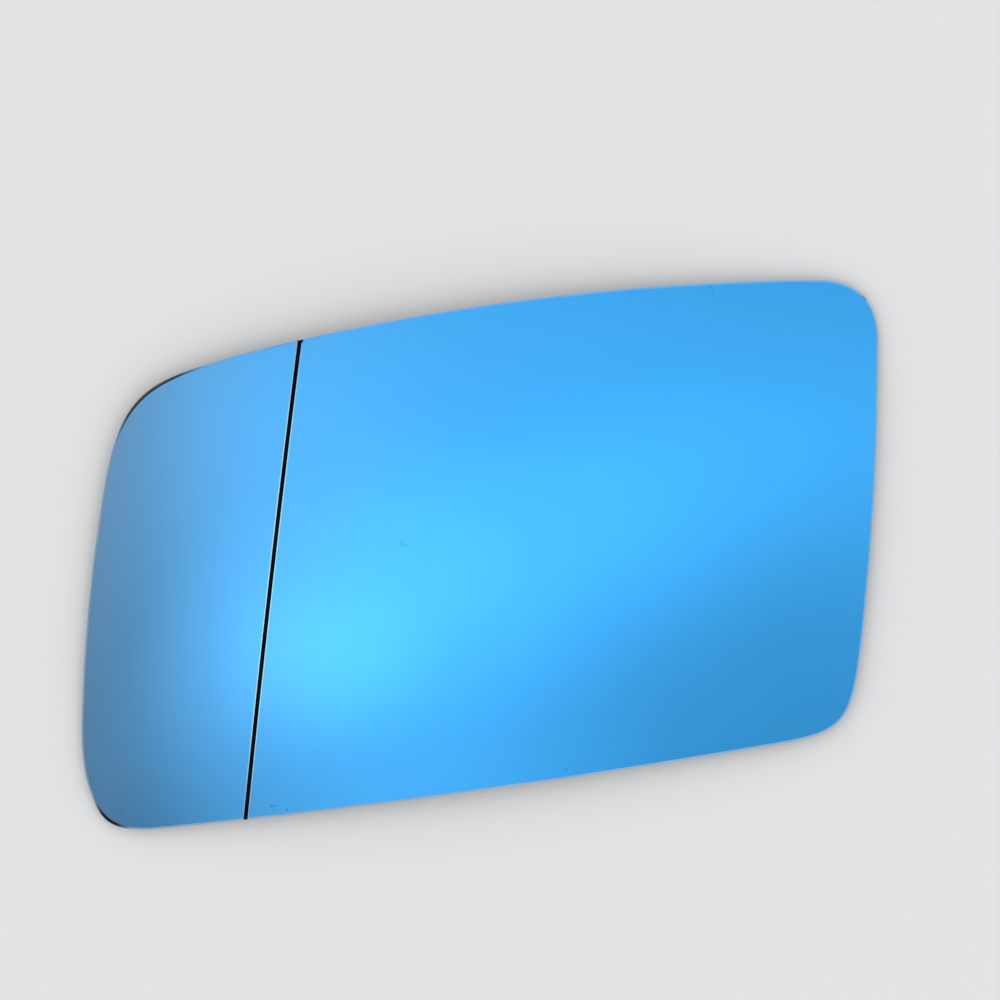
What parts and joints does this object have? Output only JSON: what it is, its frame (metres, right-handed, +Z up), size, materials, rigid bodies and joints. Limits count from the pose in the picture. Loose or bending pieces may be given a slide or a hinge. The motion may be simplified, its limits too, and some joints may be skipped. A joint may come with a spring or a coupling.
{
  "type": "car door mirror glass",
  "caption": "Bent blue-coated glass of a car's left door mirror: a convex main zone and a tighter outer zone, parted by a thin dark line, with a ground edge.",
  "frame": {"origin": "middle of the glass's box in plan, at the level of the rim's lowest points, on which it lies", "axes": "+Z up, out of the convex front; +X from the outer edge towards the car; +Y towards the top edge"},
  "size_m": [0.1798, 0.1238, 0.0066],
  "materials": {
    "coated_glass": "polished"
  },
  "bodies": {
    "root": {"mirror_glass": "coated_glass"}
  },
  "joints": []
}
